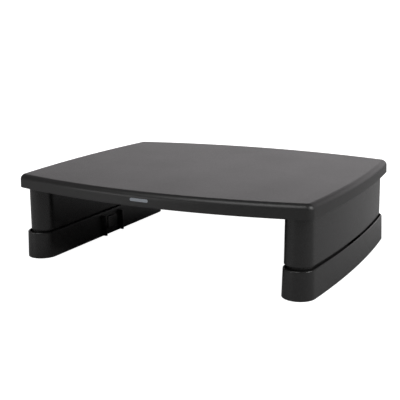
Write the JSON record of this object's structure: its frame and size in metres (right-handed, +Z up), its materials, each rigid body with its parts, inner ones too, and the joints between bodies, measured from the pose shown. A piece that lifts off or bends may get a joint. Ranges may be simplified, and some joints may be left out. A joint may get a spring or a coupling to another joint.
{
  "type": "monitor stand",
  "caption": "Low monitor stand: a bowed hollow platform on two wide legs, each plugged onto a removable extension with a sprung release button.",
  "frame": {"origin": "middle of the footprint, on the surface that the stand stands on", "axes": "+X along the wide side towards the right leg, +Y from front to back, +Z up"},
  "size_m": [0.33, 0.2794, 0.0879],
  "materials": {
    "platform_plastic": "fine grained moulded black plastic, near-flat top with a satin sheen",
    "leg_plastic": "fine grained moulded black plastic",
    "extension_plastic": "fine grained moulded black plastic",
    "button_plastic": "smooth moulded black plastic",
    "bracket_plastic": "plain moulded black plastic",
    "spring_steel": "bright drawn spring wire",
    "screw_steel": "zinc-plated steel",
    "foot_rubber": "matte non-slip rubber"
  },
  "bodies": {
    "left_extension": {"left_leg_extension": "extension_plastic", "left_front_rubber_foot": "foot_rubber", "left_back_rubber_foot": "foot_rubber", "left_spring_bracket": "bracket_plastic", "left_bracket_screw_1": "screw_steel", "left_bracket_screw_2": "screw_steel", "left_button_spring": "spring_steel"},
    "platform": {"platform": "platform_plastic", "left_upper_leg": "leg_plastic", "left_leg_screw_1": "screw_steel", "left_leg_screw_2": "screw_steel", "left_leg_screw_3": "screw_steel", "left_leg_screw_4": "screw_steel", "right_upper_leg": "leg_plastic", "right_leg_screw_1": "screw_steel", "right_leg_screw_2": "screw_steel", "right_leg_screw_3": "screw_steel", "right_leg_screw_4": "screw_steel"},
    "right_extension": {"right_leg_extension": "extension_plastic", "right_front_rubber_foot": "foot_rubber", "right_back_rubber_foot": "foot_rubber", "right_spring_bracket": "bracket_plastic", "right_bracket_screw_1": "screw_steel", "right_bracket_screw_2": "screw_steel", "right_button_spring": "spring_steel"},
    "left_button": {"left_release_button": "button_plastic"},
    "right_button": {"right_release_button": "button_plastic"}
  },
  "joints": [
    {"name": "platform_lift", "type": "slide", "parent": "left_extension", "child": "platform", "axis": [0, 0, 1], "range_m": [0, 0.0114]},
    {"name": "right_extension_slide", "type": "slide", "parent": "platform", "child": "right_extension", "axis": [0, 0, 1], "range_m": [-0.0114, 0]},
    {"name": "left_button_press", "type": "slide", "parent": "left_extension", "child": "left_button", "axis": [-1, 0, 0], "range_m": [0, 0.003], "stiffness_N_per_m": 300, "springref_m": -0.003, "deforming": ["left_button_spring"]},
    {"name": "right_button_press", "type": "slide", "parent": "right_extension", "child": "right_button", "axis": [1, 0, 0], "range_m": [0, 0.003], "stiffness_N_per_m": 300, "springref_m": -0.003, "deforming": ["right_button_spring"]}
  ],
  "couplings": [
    {"joint": "right_extension_slide", "follows": "platform_lift", "ratio": -1}
  ]
}
